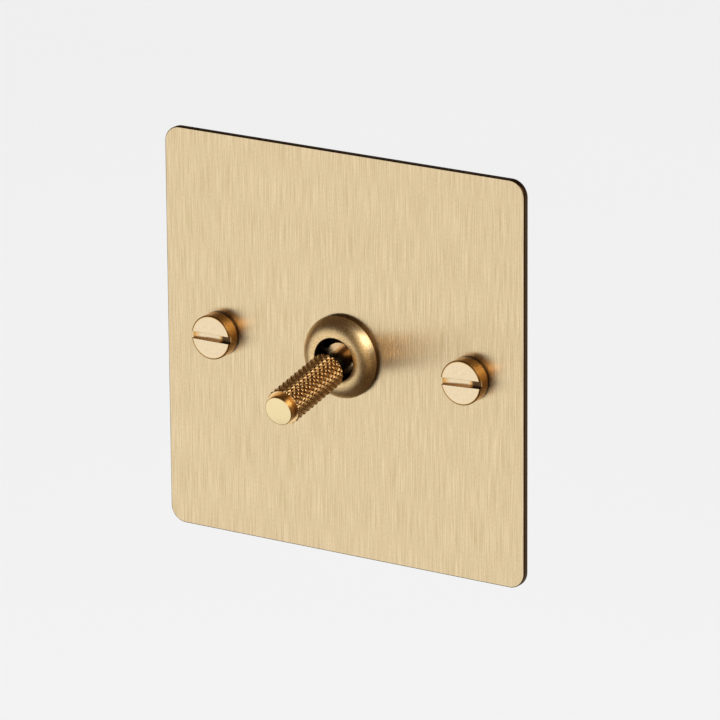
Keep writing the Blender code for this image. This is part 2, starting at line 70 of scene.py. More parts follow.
OUT_OF_WALL = Vector((0, -1, 0))
ALONG_X = Vector((1, 0, 0))
UP = Vector((0, 0, 1))
PIVOT = Vector(JOINTS["toggle_tilt"]["pos_m"])
LEVER_AXIS = Vector(JOINTS["plunger_slide"]["axis"])
SIDEWAYS = Matrix(((0, 0, 1), (1, 0, 0), (0, 1, 0))).to_4x4()  # local X, Y and Z go to Y, Z and X
WELD = 1e-7  # vertices closer than this are one
CAD_WELD = 1e-6  # the same for a CAD mesh,
CAD_FLAT = math.radians(0.5)  # whose faces are one where they turn less than this
NEAR = 1e-5  # a point this near a cylinder is on it
THROUGH = 0.02  # half length of a cutter that passes right through a piece
THREAD_STEPS = 10  # mesh steps along one pitch
THREAD_SLOPE, THREAD_CREST = 1.3, 0.15  # how steep the flanks are, and the flat left on the crest

# Camera
CAMERA_AZIMUTH = 32.25
CAMERA_ELEVATION = 17.5
CAMERA_ROLL = -0.45
CAMERA_DISTANCE = 1.2366
CAMERA_TARGET = Vector((0.00315, 0, -0.0008))
CAMERA_LENS = 302.7
CAMERA_SENSOR = 36.0
CAMERA_CLIP = (0.05, 60.0)

# Face plate
PLATE_CORNER = 0.0035
PLATE_EDGE = 0.00022
PLATE_CORNER_STEPS = 16
SCREW_HOLE_ROOM = 0.0003  # round each screw's shank

# Screws
SHANK_R = 0.0017
SHANK_LEAD = SHANK_R * 0.4
SHANK_PITCH = 0.0006
SHANK_THREAD_DEPTH = 0.00028
HEAD_CHAMFER = 0.00026
HEAD_OUTLINE = 0.00016  # width of the line painted darker round the face, inside the chamfer, as a painted dark reflection
HEAD_FOOT = 0.0008  # the side is painted dark below this height, as painted shade beside the plate
HEAD_FOOT_EDGE = 0.0001
SLOT_WIDE = 0.00145
SLOT_DEEP = 0.0011
SLOT_CHAMFER = 0.00006
SLOT_SAW_R = 0.0250  # the floor is an arc of this radius, deepest in the middle
SLOT_CLEAR = 0.001  # how far the cutter stands above the face
SLOT_REACH = 1.2  # and how far it goes to each side, in head radii
SLOT_STEPS = 48
SLOT_TURNS = {"left": 0.0, "right": 3.0}

# Patina and painted shade of the screws, from 0 to 1
# the side's orange is partly its turned finish and partly a painted reflection of the brass plate; the slot's
# walls take it as painted shade
SIDE_PATINA_AND_SHADE = 0.5
# the line round the face is painted dark, as a painted dark reflection
OUTLINE_PAINTED_SHADE = 0.7
SLOT_FLOOR_SHARE = 0.75  # the bright part of the floor's width
SLOT_UNSHADED = (-0.62, 0.30)  # the floor is left bright between these places, in head radii, and is painted dark beyond these, as painted shade
SLOT_SHADED = (-1.15, 0.52)  # and dark beyond these
CHAMFER_SHARE = 0.95  # the parts of the chamfer and of the foot that are painted fully dark, as painted shade and painted dark reflection
FOOT_SHARE = 0.75  # that are fully dark

# Bezel ring and bush
BEZEL_RIM = 0.0010
BEZEL_FOOT_R = 0.0082
BEZEL_CREST_R = 0.0055
BEZEL_TURN = 58.0
BEZEL_HOLE_R = 0.00455
BEZEL_LIP = 0.0009
BEZEL_INNER_EDGE = 0.00025
BEZEL_EDGE = 0.0001
BEZEL_DARK_EDGE = 0.6  # the part of the inner edge painted as dark as the hole, as painted shade
# painted shade under the dome's edge, beside the plate
BEZEL_UNDER_SHADE = 0.8
BUSH_R = 0.0059
BUSH_BORE_R = 0.0049
BUSH_PITCH = 0.00075
BUSH_THREAD_DEPTH = 0.0003
BUSH_LEAD = 0.0004

# Toggle
ROD_R = 0.0019
NECK_R = 0.0022
BALL_R = 0.0042
BALL_FLAT = 0.0023
TAIL_R = 0.0023
TAIL_BORE_R = 0.00145
BORE_FLOOR = -0.0025
KNURLS_ROUND = 20
KNURL_PITCH = 0.0015
KNURL_DEPTH = 0.00023
KNURL_FINE = 8  # mesh steps across one diamond
KNURL_CREST = 0.80  # the pyramids are cut flat at this share of their height
GRIP_LEAD = 0.00025
GRIP_END_SHADE = 0.45  # the grip's flat ends are between crest and groove in colour
LEVER_PATINA = 0.25
CAP_EDGE = 0.0002
# the cap's side is painted darker orange than its face: partly its turned finish, partly painted shade on a bright
# reflection
CAP_SIDE_PATINA_AND_SHADE = 0.5
STUD_R = 0.0010
STUD_EDGE = 0.0001
PIN_R = 0.00075
SMALL_EDGE = 0.00015  # the rounding of the lever, plunger, pin, bush and frame
WIRE_R = 0.0002
WIRE_STEPS = 10
SPRING_TURNS = 6
SPRING_STEPS = 24

# Nut, washer and frame
NUT_FACE_R = 0.0073
NUT_CHAMFER_ANGLE = 30
NUT_HOLE_CHAMFER = 0.0003
NUT_STEPS = 144
WASHER_TEETH = 16
WASHER_TOOTH_STEPS = 12
WASHER_TOOTH_DEPTH = 0.0010
WASHER_TOOTH_SLOPE, WASHER_TOOTH_CREST = 2.4, 0.9  # how steep the teeth are, and how wide
RETAINER_EDGE = 0.0002
FRAME_THICK = 0.0012
FRAME_BEND = 0.0016
FRAME_END = 0.0002
RIVET_SHANK_R = 0.0014

# How far the edges of the nodes that keep their CAD shape are rounded
CAD_EDGES = {
    "switch_housing": 0.0002,
    "contact_rocker": 0.00012,
    "earth_block": 0.0002,
    "earth_screw": 0.00008,
    "common_terminal": 0.00015,
    "common_terminal_screw": 0.00008,
    "upper_terminal": 0.00015,
    "upper_terminal_screw": 0.00008,
    "lower_terminal": 0.00015,
    "lower_terminal_screw": 0.00008,
    "upper_fixed_contact": 0.0001,
    "lower_fixed_contact": 0.0001,
}

# Studio
FLOOR_Z = -0.6
FLOOR_HALF = 40.0
FLOOR_CELLS = 8
FLOOR_GREYS = ((0.885,) * 3, (0.895,) * 3)
FLOOR_CLOUD = (0.8,) * 3
FLOOR_ROUGHNESS = 0.9
FLOOR_SPECULAR = 0.1
PALE_AIR = 0.98
ROOM_DARK = (0.062, 0.034, 0.014)
ROOM_GLOWS = (  # azimuth, elevation, full inside this angle, none outside this one, colour
    (-38, -20, 30, 48, (0.62, 0.62, 0.62)),
    (38, 20, 8, 30, (0.86, 0.72, 0.52)),
    (58, -12, 3, 20, (0.42, 0.28, 0.14)),
    (180, -35, 40, 62, (0.46, 0.42, 0.37)),
)
PANELS = (  # name, azimuth, elevation, distance, size, radiance
    ("low_panel", -32, -15, 0.70, (0.90, 0.74), 0.475),
    ("key_panel", 64, 38, 0.90, (0.66, 0.54), 3.1),
)

# Brushed plate: the grains are measured across the lines, along them and into the metal
BRUSH_BROAD = (0.00020, 0.0095, 0.0180)
BRUSH_SPECK = (0.00022, 0.00060, 0.0180)
BRUSH_FINE = (0.00013, 0.0040, 0.0090)
BRUSH_DETAIL = 2.0
BRUSH_SPECK_WEIGHT = 0.45  # beside 1 for the broad lines
BRUSH_RANGE = (0.46, 0.99)  # the usual range of that sum
BRUSH_COLOURS = ((0.634, 0.485, 0.264), (0.841, 0.674, 0.437))
# the plate's edge colour: a painted dark reflection and painted shade
BRUSH_EDGE_PAINTED_SHADE = (0.12, 0.065, 0.025)
BRUSH_ROUGHNESS = (0.31, 0.25)
BRUSH_ANISOTROPY = 0.84
BRUSH_DEPTH = 0.000012

# Knurl
KNURL_TARNISH = (0.0009,) * 3
KNURL_COLOURS = ((0.95, 0.66, 0.30), (1.00, 0.77, 0.42))
# the grooves' colour: partly oxide, partly painted shade in the hollows
KNURL_GROOVE_COLOUR = (0.40, 0.18, 0.045)
KNURL_GROOVE_RANGE = (0.24, 0.95)  # how deep the darkening starts and ends: oxide in the grooves and painted shade
KNURL_ROUGHNESS = (0.13, 0.36)
KNURL_SCRATCH = (0.00008, 0.00008, 0.0003)
KNURL_SCRATCH_DEPTH = 0.000004

# Other finishes: dark and light are the grain's two colours, size is the grain's, in metres
PATINA_AND_SHADE_ROUGHNESS = 0.16  # how much rougher the metal is where its patina and painted shade are full
PLASTIC_CLOUD = (0.012,) * 3
PLASTIC_GLOW_RADIUS = (0.0012, 0.0010, 0.0008)
# each patina pair below also serves as painted shade and painted reflection where a piece asks for it
METALS = {
    "turned_brass": {
        "dark": (0.74, 0.59, 0.38),
        "light": (0.82, 0.67, 0.45),
        "roughness": (0.17, 0.23),
        "size": (0.0006,) * 3,
        "depth": 0.000002,
        "patina_and_painted_shade": ((0.74, 0.42, 0.14), (0.10, 0.055, 0.025)),
    },
    "cap_brass": {
        "dark": (0.79, 0.64, 0.355),
        "light": (0.84, 0.69, 0.395),
        "roughness": (0.16, 0.22),
        "size": (0.0006,) * 3,
        "depth": 0.000002,
        "patina_and_painted_shade": ((0.84, 0.53, 0.22), (0.30, 0.17, 0.06)),
    },
    "aged_brass": {
        "dark": (0.55, 0.36, 0.15),
        "light": (0.96, 0.73, 0.41),
        "roughness": (0.30, 0.40),
        "size": (0.00027,) * 3,
        "depth": 0.000016,
        "patina_and_painted_shade": ((0.40, 0.25, 0.11), (0.05, 0.03, 0.018)),
    },
    "nickel_plate": {
        "dark": (0.60, 0.58, 0.54),
        "light": (0.70, 0.68, 0.64),
        "roughness": (0.18, 0.28),
        "size": (0.0012,) * 3,
        "depth": 0.000003,
        "patina_and_painted_shade": ((0.20, 0.17, 0.13), (0.045, 0.035, 0.025)),
    },
    "zinc_steel": {
        "dark": (0.50, 0.52, 0.55),
        "light": (0.66, 0.68, 0.70),
        "roughness": (0.28, 0.42),
        "size": (0.0015, 0.0015, 0.0004),
        "depth": 0.000006,
    },
    "contact_silver": {
        "dark": (0.80, 0.80, 0.82),
        "light": (0.90, 0.90, 0.91),
        "roughness": (0.15, 0.24),
        "size": (0.0004,) * 3,
        "depth": 0.000002,
    },
}
PLASTICS = {
    "housing_plastic": {
        "dark": (0.80, 0.79, 0.75),
        "light": (0.86, 0.85, 0.82),
        "roughness": (0.38, 0.52),
        "size": (0.00018,) * 3,
        "depth": 0.000012,
        "subsurface": 0.0,
    },
    "nylon": {
        "dark": (0.80, 0.78, 0.70),
        "light": (0.86, 0.84, 0.77),
        "roughness": (0.40, 0.50),
        "size": (0.0004,) * 3,
        "depth": 0.000006,
        "subsurface": 0.4,
    },
}

# ---- mesh work ----


def facing(axis, at):
    """The placement whose local Z is the axis, and whose local X keeps to the world's X if it can."""
    z = axis.normalized()
    x = ALONG_X if abs(z.x) < 0.9 else Vector((0, 0, -1))
    y = z.cross(x).normalized()
    turn = Matrix((y.cross(z), y, z)).transposed()
    return Matrix.Translation(at) @ turn.to_4x4()


def extent(node, origin, axis):
    """How far a CAD node reaches along an axis, least and most, and its radius round that axis."""
    points = [vertex.co - origin for vertex in frame["nodes"][node].data.vertices]
    along = [point.dot(axis) for point in points]
    radius = max((point - axis * a).length for point, a in zip(points, along))
    return min(along), max(along), radius


def middle(node):
    low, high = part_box(node)
    return (low + high) / 2


def mesh_from(name, work):
    """A bmesh as a finished mesh, welded, with its faces pointing out."""
    bmesh.ops.remove_doubles(work, verts=work.verts, dist=WELD)
    bmesh.ops.recalc_face_normals(work, faces=work.faces)
    mesh = bpy.data.meshes.new(name)
    work.to_mesh(mesh)
    work.free()
    return mesh


def join_rows(work, rows):
    for row, following in zip(rows, rows[1:]):
        for i in range(len(row)):
            j = (i + 1) % len(row)
            work.faces.new((row[i], following[i], following[j], row[j]))


def skin(name, rows, ring=False):
    """A closed surface through rows of points. Each row goes once round.

    A ring's last row meets its first.
    """
    work = bmesh.new()
    made = [[work.verts.new(point) for point in row] for row in rows]
    if ring:
        join_rows(work, made + made[:1])
    else:
        join_rows(work, made)
        work.faces.new(made[0])
        work.faces.new(made[-1])
    return mesh_from(name, work)


def rounded(points, ring=False, steps=4):
    """The outline of (x, y, cut) points. Each corner becomes a curve that starts cut before it."""
    outline = []
    for i, (x, y, cut) in enumerate(points):
        corner = Vector((x, y))
        if not cut:
            outline.append(corner)
            continue
        before = Vector(points[i - 1][:2]) - corner
        after = Vector(points[(i + 1) % len(points)][:2]) - corner
        start = corner + before.normalized() * cut
        end = corner + after.normalized() * cut
        for k in range(steps + 1):
            t = k / steps
            outline.append(start.lerp(corner, t).lerp(corner.lerp(end, t), t))
    return outline


def arc(radii, start, end, steps, centre=(0, 0)):
    """Points (x, y, 0) along an ellipse, from angle start to angle end in degrees."""
    angles = [math.radians(start + (end - start) * k / steps) for k in range(steps + 1)]
    return [
        (centre[0] + radii[0] * math.cos(a), centre[1] + radii[1] * math.sin(a), 0) for a in angles
    ]


def bow(start, end, turn, steps):
    """Points (x, y, 0) of an arc from start to end that turns by that many degrees, bulging out."""
    half = math.radians(turn) / 2
    chord = Vector(end) - Vector(start)
    side = Vector((-chord.y, chord.x))
    points = []
    for k in range(steps + 1):
        angle = half * (2 * k / steps - 1)
        along = (math.sin(angle) / math.sin(half) + 1) / 2
        rise = (math.cos(angle) - math.cos(half)) / (2 * math.sin(half))
        points.append((*(Vector(start) + chord * along + side * rise), 0))
    return points


def turned(name, profile, steps=72, ring=False, wave=None):
    """A solid of revolution about Z. A wave changes the radius as wave(angle, radius, height)."""
    rows = []
    for radius, height in profile:
        row = []
        for k in range(steps):
            angle = 2 * math.pi * k / steps
            r = wave(angle, radius, height) if wave else radius
            row.append((r * math.cos(angle), r * math.sin(angle), height))
        rows.append(row)
    return skin(name, rows, ring)


def climb(radius, start, end, step):
    """Profile points straight along Z at one radius, evenly spaced."""
    count = max(1, round(abs(end - start) / step))
    return [Vector((radius, start + (end - start) * k / count)) for k in range(count + 1)]


def threading(crest, start, end, pitch, depth):
    """The wave that cuts a thread into the crest radius between two heights, faded at the ends."""

    def wave(angle, radius, height):
        if abs(radius - crest) > WELD:
            return radius
        inside = min(height - start, end - height)
        fade = min(1.0, max(0.0, inside / pitch))
        turn = height / pitch - angle / (2 * math.pi)
        flank = abs(2 * (turn - math.floor(turn)) - 1)
        return radius - depth * fade * min(1.0, max(0.0, THREAD_SLOPE * flank - THREAD_CREST))

    return wave


def prism(name, outline, depth):
    """An outline in local X and Y, given a thickness both ways along Z."""
    rows = [[(x, y, z) for x, y in outline] for z in (-depth / 2, depth / 2)]
    return skin(name, rows)


def circle(radius, steps, centre=(0, 0), clockwise=False):
    """Points round a circle, each with the direction into the material.

    That is inwards for an outline, and outwards for a hole, which runs clockwise.
    """
    turn = -1 if clockwise else 1
    loop = []
    for k in range(steps):
        angle = turn * 2 * math.pi * k / steps
        out = Vector((math.cos(angle), math.sin(angle)))
        loop.append((Vector(centre) + out * radius, -out * turn))
    return loop


def rounded_square(half, corner, steps):
    """Points round a square with round corners, each with the direction into the material."""
    loop = []
    for quarter in range(4):
        for k in range(steps + 1):
            angle = math.radians(90 * (quarter + k / steps))
            out = Vector((math.cos(angle), math.sin(angle)))
            sides = Vector((1 if quarter in (0, 3) else -1, 1 if quarter in (0, 1) else -1))
            loop.append((sides * (half - corner) + out * corner, -out))
    return loop


def slab(name, loops, thickness, edge, steps=4):
    """A flat piece from local Z 0 up, with rounded edges.

    Its first loop is the outline and the rest are holes.
    """
    turns = [math.radians(90 * k / steps) for k in range(steps + 1)]
    section = [(edge * (1 - math.sin(a)), edge * (1 - math.cos(a))) for a in turns]
    section += [(inset, thickness - height) for inset, height in reversed(section)]
    work = bmesh.new()
    rims = ([], [])
    for loop in loops:
        rows = [
            [work.verts.new((*(point + inward * inset), height)) for point, inward in loop]
            for inset, height in section
        ]
        join_rows(work, rows)
        for rim, row in zip(rims, (rows[0], rows[-1])):
            rim.extend(work.edges.get((row[i - 1], row[i])) for i in range(len(row)))
    for rim in rims:
        bmesh.ops.triangle_fill(work, edges=rim, use_beauty=True)
    return mesh_from(name, work)


def carved(mesh, cutter_mesh, placement):
    """The mesh with another one, placed so, cut from it."""
    body = bpy.data.objects.new("carved", mesh)
    other = bpy.data.objects.new("cutter", cutter_mesh)
    other.matrix_world = placement
    for obj in (body, other):
        bpy.context.scene.collection.objects.link(obj)
    cut = body.modifiers.new("cut", "BOOLEAN")
    cut.operation = "DIFFERENCE"
    cut.object = other
    cut.solver = "EXACT"
    graph = bpy.context.evaluated_depsgraph_get()
    result = bpy.data.meshes.new_from_object(body.evaluated_get(graph))
    for obj in (body, other):
        bpy.data.objects.remove(obj)
    return result


def bored(mesh, placement, radius, axis, at):
    """The mesh, placed so, with a round hole through all of it along an axis."""
    ends = ((0, THROUGH), (radius, THROUGH), (radius, -THROUGH), (0, -THROUGH))
    hole = turned("hole", [Vector(end) for end in ends], steps=64)
    return carved(mesh, hole, placement.inverted() @ facing(axis, at))


def piece(node, mesh, placement, bevel=0.0, sharp=35, finish=None):
    """Puts a mesh in the scene in place of a CAD node, riding on the node's body.

    Its finish is the one of the node's slot, or another one by name.
    """
    slot = SLOT_OF[node]
    obj = bpy.data.objects.new(f"{node}_surface", mesh)
    bpy.context.scene.collection.objects.link(obj)
    obj.matrix_world = placement
    mesh.materials.clear()
    mesh.materials.append(FINISHES[finish or slot])
    mesh.shade_smooth()
    mesh.set_sharp_from_angle(angle=math.radians(sharp))
    if bevel:
        edges = obj.modifiers.new("edges", "BEVEL")
        edges.width = bevel
        edges.segments = 3
        edges.limit_method = "ANGLE"
        edges.angle_limit = math.radians(sharp)
    normals = obj.modifiers.new("normals", "WEIGHTED_NORMAL")
    normals.keep_sharp = True
    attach(obj, BODY_OF[node])
    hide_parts(node)
    return obj


def add_patina_and_painted_shade(mesh, amount):
    """Stores how dark the metal is at each vertex, from 0 to 1: patina on some pieces, painted shade and painted
    reflection on others.
    """
    layer = mesh.attributes.new("patina_and_painted_shade", "FLOAT", "POINT")
    for vertex, value in zip(mesh.vertices, layer.data):
        value.value = amount(vertex.co)


def refined(node, bevel):
    """A CAD node's own shape with its flat faces made whole and its edges rounded."""
    work = bmesh.new()
    work.from_mesh(frame["nodes"][node].data)
    bmesh.ops.remove_doubles(work, verts=work.verts, dist=CAD_WELD)
    bmesh.ops.dissolve_limit(work, angle_limit=CAD_FLAT, verts=work.verts, edges=work.edges)
    piece(node, mesh_from(node, work), Matrix(), bevel)


# ---- finishes ----


def add(tree, kind, inputs=None, **settings):
    """A shader node. An input is a value, or another node's output socket to link from."""
    made = tree.nodes.new("ShaderNode" + kind)
    for key, value in settings.items():
        setattr(made, key, value)
    for key, value in (inputs or {}).items():
        if isinstance(value, bpy.types.NodeSocket):
            tree.links.new(value, made.inputs[key])
        else:
            made.inputs[key].default_value = value
    return made


def grain(tree, size, detail=3.0):
    """Noise whose features measure size (x, y, z) in metres, from 0 to 1."""
    place = add(tree, "TexCoord").outputs["Object"]
    scaled = add(tree, "Mapping", {"Vector": place, "Scale": tuple(1 / s for s in size)})
    noise = add(
        tree,
        "TexNoise",
        {"Vector": scaled.outputs["Vector"], "Scale": 1.0, "Detail": detail, "Roughness": 0.6},
    )
    return noise.outputs["Fac"]


def spread(tree, value, low, high, start=0.3, end=0.7):
    """A noise value stretched from its usual range to low..high."""
    made = add(
        tree,
        "MapRange",
        {"Value": value, "From Min": start, "From Max": end, "To Min": low, "To Max": high},
    )
    return made.outputs["Result"]


def blend(tree, amount, first, second):
    """The colour between two colours or colour sockets, mixed by an amount's socket."""
    made = add(tree, "Mix", {0: amount}, data_type="RGBA")
    for index, value in ((6, first), (7, second)):
        if isinstance(value, bpy.types.NodeSocket):
            tree.links.new(value, made.inputs[index])
        else:
            made.inputs[index].default_value = (*value, 1.0)
    return made.outputs[2]


def relief(tree, height, depth):
    """A bump whose full height is depth in metres."""
    made = add(tree, "Bump", {"Height": height, "Distance": depth, "Strength": 1.0})
    return made.outputs["Normal"]


def new_material(name):
    made = bpy.data.materials.new(name)
    made.use_nodes = True
    return made, made.node_tree, made.node_tree.nodes["Principled BSDF"]


def metal(name, dark, light, roughness, size, depth, patina_and_painted_shade=None):
    """A metal whose colour, gloss and relief follow one grain.

    The patina and painted shade are the pair of colours that the mesh's attribute of that name brings
    in, one up to 0.5 and one from there to 1. They paint patina, and also painted shade and painted
    reflection on edges, sides, slots and holes.
    """
    made, tree, shader = new_material(name)
    pattern = grain(tree, size)
    links = tree.links.new
    colour = blend(tree, spread(tree, pattern, 0, 1), dark, light)
    if patina_and_painted_shade:
        amount = add(tree, "Attribute", attribute_name="patina_and_painted_shade").outputs["Fac"]
        colour = blend(tree, spread(tree, amount, 0, 1, 0.0, 0.5), colour, patina_and_painted_shade[0])
        colour = blend(tree, spread(tree, amount, 0, 1, 0.5, 1.0), colour, patina_and_painted_shade[1])
    links(colour, shader.inputs["Base Color"])
    gloss = spread(tree, pattern, roughness[0], roughness[1])
    if patina_and_painted_shade:
        dulled = {0: amount, 1: PATINA_AND_SHADE_ROUGHNESS, 2: gloss}
        gloss = add(tree, "Math", dulled, operation="MULTIPLY_ADD").outputs["Value"]
    links(gloss, shader.inputs["Roughness"])
    links(relief(tree, pattern, depth), shader.inputs["Normal"])
    shader.inputs["Metallic"].default_value = 1.0
    return made


def brushed_brass():
    """Brushed up and down: broad lines change the colour and the gloss, fine ones the relief. The edge is painted
    dark, as painted shade and reflection.
    """
    made, tree, shader = new_material("brushed_brass")
    links = tree.links.new
    broad = grain(tree, BRUSH_BROAD, BRUSH_DETAIL)
    speck = grain(tree, BRUSH_SPECK, BRUSH_DETAIL)
    fine = grain(tree, BRUSH_FINE)
    weighed = {0: speck, 1: BRUSH_SPECK_WEIGHT, 2: broad}
    lines = add(tree, "Math", weighed, operation="MULTIPLY_ADD").outputs["Value"]
    bare = blend(tree, spread(tree, lines, 0, 1, *BRUSH_RANGE), *BRUSH_COLOURS)
    # the plate's edge, painted dark as painted shade and reflection
    edge = add(tree, "Attribute", attribute_name="patina_and_painted_shade").outputs["Fac"]
    links(blend(tree, edge, bare, BRUSH_EDGE_PAINTED_SHADE), shader.inputs["Base Color"])
    links(spread(tree, broad, *BRUSH_ROUGHNESS), shader.inputs["Roughness"])
    links(relief(tree, fine, BRUSH_DEPTH), shader.inputs["Normal"])
    direction = add(tree, "Tangent", direction_type="RADIAL", axis="Y")
    links(direction.outputs["Tangent"], shader.inputs["Tangent"])
    shader.inputs["Anisotropic"].default_value = BRUSH_ANISOTROPY
    shader.inputs["Metallic"].default_value = 1.0
    return made


def knurled_brass():
    """Polished crests and dark grooves, told apart by the mesh's groove attribute. The grooves' dark colour is
    partly oxide and partly painted shade.
    """
    made, tree, shader = new_material("knurled_brass")
    links = tree.links.new
    groove = add(tree, "Attribute", attribute_name="groove").outputs["Fac"]
    tarnish = grain(tree, KNURL_TARNISH)
    warm = blend(tree, spread(tree, tarnish, 0, 1), *KNURL_COLOURS)
    colour = blend(tree, spread(tree, groove, 0, 1, *KNURL_GROOVE_RANGE), warm, KNURL_GROOVE_COLOUR)
    links(colour, shader.inputs["Base Color"])
    links(spread(tree, groove, *KNURL_ROUGHNESS, 0.0, 1.0), shader.inputs["Roughness"])
    shader.inputs["Metallic"].default_value = 1.0
    links(relief(tree, grain(tree, KNURL_SCRATCH), KNURL_SCRATCH_DEPTH), shader.inputs["Normal"])
    return made


def plastic(name, dark, light, roughness, size, depth, subsurface):
    """A moulded plastic with a fine, even texture."""
    made, tree, shader = new_material(name)
    links = tree.links.new
    texture = grain(tree, size)
    cloud = grain(tree, PLASTIC_CLOUD, 2.0)
    links(blend(tree, spread(tree, cloud, 0, 1), dark, light), shader.inputs["Base Color"])
    links(spread(tree, texture, roughness[0], roughness[1]), shader.inputs["Roughness"])
    links(relief(tree, texture, depth), shader.inputs["Normal"])
    shader.inputs["Subsurface Weight"].default_value = subsurface
    shader.inputs["Subsurface Radius"].default_value = PLASTIC_GLOW_RADIUS
    return made


FINISHES = {"brushed_brass": brushed_brass(), "knurled_brass": knurled_brass()}
FINISHES.update((name, metal(name, **look)) for name, look in METALS.items())
FINISHES.update((name, plastic(name, **look)) for name, look in PLASTICS.items())


# ---- front pieces ----


def make_face_plate():
    low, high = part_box("face_plate")
    loops = [
        rounded_square(high.x, PLATE_CORNER, PLATE_CORNER_STEPS),
        circle(BUSH_R, steps=64, clockwise=True),
    ]
    for side in ("left", "right"):
        x = middle(f"fixing_screw_{side}").x
        loops.append(circle(SHANK_R + SCREW_HOLE_ROOM, 32, (x, 0), clockwise=True))
    mesh = slab("face_plate", loops, -low.y, PLATE_EDGE)
    rim = PLATE_EDGE / 20  # the edge is painted dark from just inside each face, as painted shade
    add_patina_and_painted_shade(mesh, lambda point: 1.0 if rim < point.z < -low.y - rim else 0.0)
    piece("face_plate", mesh, facing(OUT_OF_WALL, Vector()))


def screw_slot(top, reach):
    """The cutter of a screwdriver slot along local X, whose mouth is slightly chamfered."""
    half, mouth = SLOT_WIDE / 2, SLOT_WIDE / 2 + SLOT_CHAMFER
    rows = []
    for k in range(SLOT_STEPS + 1):
        x = reach * (2 * k / SLOT_STEPS - 1)
        floor = top - SLOT_DEEP + x * x / (2 * SLOT_SAW_R)
        side = [(half * SLOT_FLOOR_SHARE, floor), (half, floor), (half, top - SLOT_CHAMFER)]
        side += [(mouth, top), (mouth, top + SLOT_CLEAR)]
        rows.append([(x, y, z) for y, z in side] + [(x, -y, z) for y, z in reversed(side)])
    return skin("slot", rows)


def make_fixing_screw(side):
    """A slotted cheese-head screw with a machine thread."""
    node = f"fixing_screw_{side}"
    plate_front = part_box("face_plate")[0].y
    at = Vector((middle(node).x, plate_front, 0))
    low, top, radius = extent(node, at, OUT_OF_WALL)
    profile = rounded(
        [
            (0, top, 0),
            (radius - HEAD_CHAMFER - HEAD_OUTLINE, top, 0),
            (radius, top, HEAD_CHAMFER),
            (radius, HEAD_FOOT, 0),
            (radius, HEAD_FOOT / 2, 0),
            (radius, 0, HEAD_FOOT_EDGE),
            (SHANK_R, 0, 0),
        ],
        steps=3,
    )
    profile += climb(SHANK_R, plate_front, low + SHANK_LEAD, SHANK_PITCH / THREAD_STEPS)
    profile += [Vector((SHANK_R - SHANK_LEAD, low)), Vector((0, low))]
    wave = threading(SHANK_R, low, plate_front, SHANK_PITCH, SHANK_THREAD_DEPTH)
    mesh = turned(node, profile, steps=64, wave=wave)
    turn = Matrix.Rotation(math.radians(SLOT_TURNS[side]), 4, "Z")
    mesh = carved(mesh, screw_slot(top, radius * SLOT_REACH), turn)

    def patina_and_painted_shade(point):
        """None on the face and shank, some on the side, all on its edges and at the slot's ends. Most of it is
        painted shade and painted reflection; the side's share is partly its turned finish.
        """
        across = turn.inverted() @ point
        out = math.hypot(point.x, point.y)
        if abs(point.z - top) < WELD:
            return OUTLINE_PAINTED_SHADE if out > radius - HEAD_CHAMFER - HEAD_OUTLINE / 2 else 0.0
        if point.z < -WELD:
            return 0.0
        in_slot = abs(across.y) <= SLOT_WIDE / 2 + WELD and point.z > top - SLOT_DEEP * 2
        if in_slot and out < radius - NEAR:
            end = 0 if across.x < 0 else 1
            # the slot's floor is painted darker towards its ends, as painted shade
            slot_shade = (across.x / radius - SLOT_UNSHADED[end]) / (SLOT_SHADED[end] - SLOT_UNSHADED[end])
            on_wall = abs(across.y) > SLOT_WIDE * SLOT_FLOOR_SHARE / 2 + WELD
            return min(1.0, max(SIDE_PATINA_AND_SHADE if on_wall else 0.0, slot_shade))
        # the chamfer and the foot beside the plate are painted dark, as painted shade and reflection
        edge = point.z > top - HEAD_CHAMFER * CHAMFER_SHARE or point.z < HEAD_FOOT * FOOT_SHARE
        return 1.0 if edge else SIDE_PATINA_AND_SHADE

    add_patina_and_painted_shade(mesh, patina_and_painted_shade)
    piece(node, mesh, facing(OUT_OF_WALL, at), sharp=40)


def make_screw_retainer(side):
    node = f"screw_retainer_{side}"
    at = Vector((middle(node).x, 0, 0))
    low, _, radius = extent(node, at, OUT_OF_WALL)
    corners = ((SHANK_R, 0), (radius, 0), (radius, low), (SHANK_R, low))
    section = rounded([(*corner, RETAINER_EDGE) for corner in corners], ring=True)
    piece(node, turned(node, section, steps=48, ring=True), facing(OUT_OF_WALL, at))


def make_bezel_ring():
    at = Vector((0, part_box("face_plate")[0].y, 0))
    low, top, radius = extent("bezel_ring", at, OUT_OF_WALL)
    dome = bow((BEZEL_CREST_R, top), (radius, BEZEL_RIM), BEZEL_TURN, steps=24)
    floor = top - BEZEL_LIP
    section = rounded(
        [
            *dome,
            (BEZEL_FOOT_R, 0, BEZEL_EDGE),
            (BUSH_R, 0, BEZEL_EDGE),
            (BUSH_R, floor, BEZEL_EDGE),
            (BEZEL_HOLE_R, floor, BEZEL_EDGE),
            (BEZEL_HOLE_R, top, BEZEL_INNER_EDGE),
        ],
        ring=True,
    )
    mesh = turned("bezel_ring", section, steps=128, ring=True)
    inside = BEZEL_HOLE_R + BEZEL_INNER_EDGE * BEZEL_DARK_EDGE

    def patina_and_painted_shade(point):
        """Painted shade: all of it in the hole, and most of it under the dome's edge."""
        if math.hypot(point.x, point.y) < inside:
            return 1.0
        return BEZEL_UNDER_SHADE if point.z < BEZEL_RIM + WELD else 0.0

    add_patina_and_painted_shade(mesh, patina_and_painted_shade)
    piece("bezel_ring", mesh, facing(OUT_OF_WALL, at))


